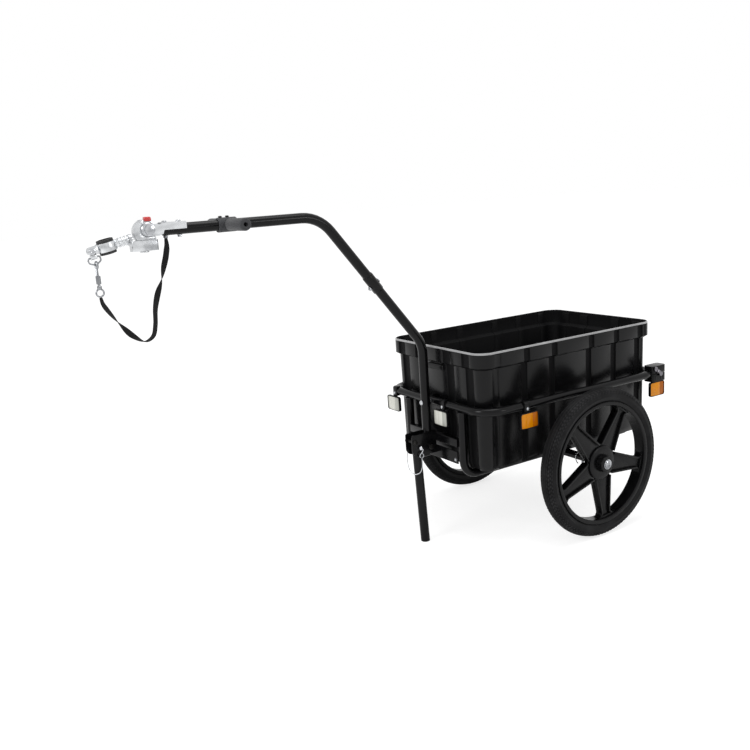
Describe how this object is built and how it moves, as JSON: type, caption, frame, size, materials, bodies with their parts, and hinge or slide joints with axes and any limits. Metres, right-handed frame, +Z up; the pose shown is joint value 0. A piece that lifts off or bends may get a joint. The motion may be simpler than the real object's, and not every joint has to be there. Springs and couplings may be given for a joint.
{
  "type": "bicycle cargo trailer",
  "caption": "Two-wheeled cargo trailer with a plastic tub in a steel tube frame, a cranked drawbar, a fold-down stand and a swivelling seat-post hitch.",
  "frame": {"origin": "on the ground, in the middle of the trailer's length and width", "axes": "+X forward along the drawbar to the bicycle, +Y across to the left wheel, +Z up"},
  "size_m": [1.5378, 0.6268, 0.9357],
  "materials": {
    "tub_plastic": "moulded black plastic with a fine grain",
    "frame_paint": "satin black powder coat on steel tube",
    "black_steel": "blackened steel fasteners",
    "black_plastic": "black moulded plastic",
    "wheel_plastic": "black glass-filled plastic wheel",
    "tyre_rubber": "black tyre rubber",
    "grip_rubber": "grey-black foam rubber",
    "liner_rubber": "soft black rubber",
    "zinc_steel": "bright zinc-plated steel",
    "steel_wire": "stranded steel wire",
    "cast_aluminium": "satin aluminium",
    "orange_lens": "orange prismatic reflector",
    "white_lens": "clear white prismatic reflector",
    "red_plastic": "red plastic cap",
    "webbing": "black woven webbing"
  },
  "bodies": {
    "trailer": {"base_frame": "frame_paint", "coupling_front_bolt": "zinc_steel", "coupling_rear_bolt": "zinc_steel", "coupling_shank": "cast_aluminium", "drawbar_bracket": "frame_paint", "drawbar_foot_bolt": "black_steel", "drawbar_hoop_bolt": "zinc_steel", "drawbar_joint_bolt": "zinc_steel", "drawbar_lower_tube": "frame_paint", "drawbar_upper_tube": "frame_paint", "front_cross_bar": "frame_paint", "front_cross_plate": "frame_paint", "front_left_reflector": "white_lens", "front_left_reflector_bracket": "black_plastic", "front_right_reflector": "white_lens", "front_right_reflector_bracket": "black_plastic", "handle_front_screw": "black_steel", "handle_rear_screw": "black_steel", "hitch_bush": "zinc_steel", "hitch_cross_bolt": "zinc_steel", "hoop_tube": "frame_paint", "left_corner_clamp": "black_plastic", "left_rear_reflector": "orange_lens", "left_wheel_axle": "zinc_steel", "lock_pin_lanyard": "steel_wire", "right_corner_clamp": "black_plastic", "right_rear_reflector": "orange_lens", "right_wheel_axle": "zinc_steel", "side_left_reflector": "orange_lens", "side_left_reflector_bracket": "black_plastic", "side_right_reflector": "orange_lens", "side_right_reflector_bracket": "black_plastic", "stand_stop_bolt": "black_steel", "strap_rear": "webbing", "t_handle": "grip_rubber", "tub": "tub_plastic"},
    "left_wheel": {"left_tyre": "tyre_rubber", "left_wheel_rim": "wheel_plastic", "left_wheel_bearing": "zinc_steel"},
    "right_wheel": {"right_tyre": "tyre_rubber", "right_wheel_rim": "wheel_plastic", "right_wheel_bearing": "zinc_steel"},
    "left_axle_pin": {"left_axle_lock_pin": "zinc_steel"},
    "right_axle_pin": {"right_axle_lock_pin": "zinc_steel"},
    "left_wing": {"left_wing_screw": "zinc_steel"},
    "right_wing": {"right_wing_screw": "zinc_steel"},
    "stand": {"stand_leg": "frame_paint", "stand_foot_plug": "black_plastic"},
    "lock_pin": {"stand_lock_pin": "zinc_steel"},
    "hook": {"hitch_hook": "cast_aluminium", "strap_middle": "webbing"},
    "latch": {"safety_latch": "zinc_steel", "latch_cap": "red_plastic"},
    "swivel": {"swivel_block": "cast_aluminium", "strap_front": "webbing"},
    "clamp": {"seat_post_clamp": "cast_aluminium", "clamp_liner": "liner_rubber", "clamp_bolt": "zinc_steel", "d_ring": "zinc_steel", "snap_hook": "zinc_steel"}
  },
  "joints": [
    {"name": "left_wheel_spin", "type": "hinge", "parent": "trailer", "child": "left_wheel", "pos_m": [-0.43443, 0.279, 0.205], "axis": [0, 1, 0], "continuous": true},
    {"name": "right_wheel_spin", "type": "hinge", "parent": "trailer", "child": "right_wheel", "pos_m": [-0.43443, -0.279, 0.205], "axis": [0, 1, 0], "continuous": true},
    {"name": "left_axle_pin_pull", "type": "slide", "parent": "trailer", "child": "left_axle_pin", "axis": [0, 0, 1], "range_m": [0, 0.035]},
    {"name": "right_axle_pin_pull", "type": "slide", "parent": "trailer", "child": "right_axle_pin", "axis": [0, 0, 1], "range_m": [0, 0.035]},
    {"name": "left_wing_turn", "type": "hinge", "parent": "trailer", "child": "left_wing", "pos_m": [-0.73093, 0.224, 0.397], "axis": [0, 1, 0], "range_deg": [0, 360]},
    {"name": "right_wing_turn", "type": "hinge", "parent": "trailer", "child": "right_wing", "pos_m": [-0.73093, -0.224, 0.397], "axis": [0, 1, 0], "range_deg": [0, 360]},
    {"name": "stand_fold", "type": "hinge", "parent": "trailer", "child": "stand", "pos_m": [-0.03243, 0, 0.275], "axis": [0, -1, 0], "range_deg": [0, 92], "deforming": ["lock_pin_lanyard"]},
    {"name": "lock_pin_pull", "type": "slide", "parent": "trailer", "child": "lock_pin", "axis": [0, 1, 0], "range_m": [0, 0.045], "deforming": ["lock_pin_lanyard"]},
    {"name": "hitch_pitch", "type": "hinge", "parent": "trailer", "child": "hook", "pos_m": [0.63457, 0, 0.908], "axis": [0, 1, 0], "range_deg": [-20, 20], "deforming": ["strap_rear", "strap_middle", "strap_front"]},
    {"name": "hitch_yaw", "type": "hinge", "parent": "hook", "child": "swivel", "pos_m": [0.64457, 0, 0.875], "axis": [0, 0, 1], "range_deg": [-75, 75], "deforming": ["strap_rear", "strap_middle", "strap_front"]},
    {"name": "hitch_roll", "type": "hinge", "parent": "swivel", "child": "clamp", "pos_m": [0.67757, 0, 0.8905], "axis": [0.9781, 0, -0.2079], "range_deg": [-40, 40], "deforming": ["strap_rear", "strap_middle", "strap_front"]},
    {"name": "latch_lift", "type": "hinge", "parent": "hook", "child": "latch", "pos_m": [0.64857, 0, 0.925], "axis": [0, 1, 0], "range_deg": [0, 35], "stiffness_Nm_per_rad": 0.05, "springref_deg": -22.92}
  ]
}
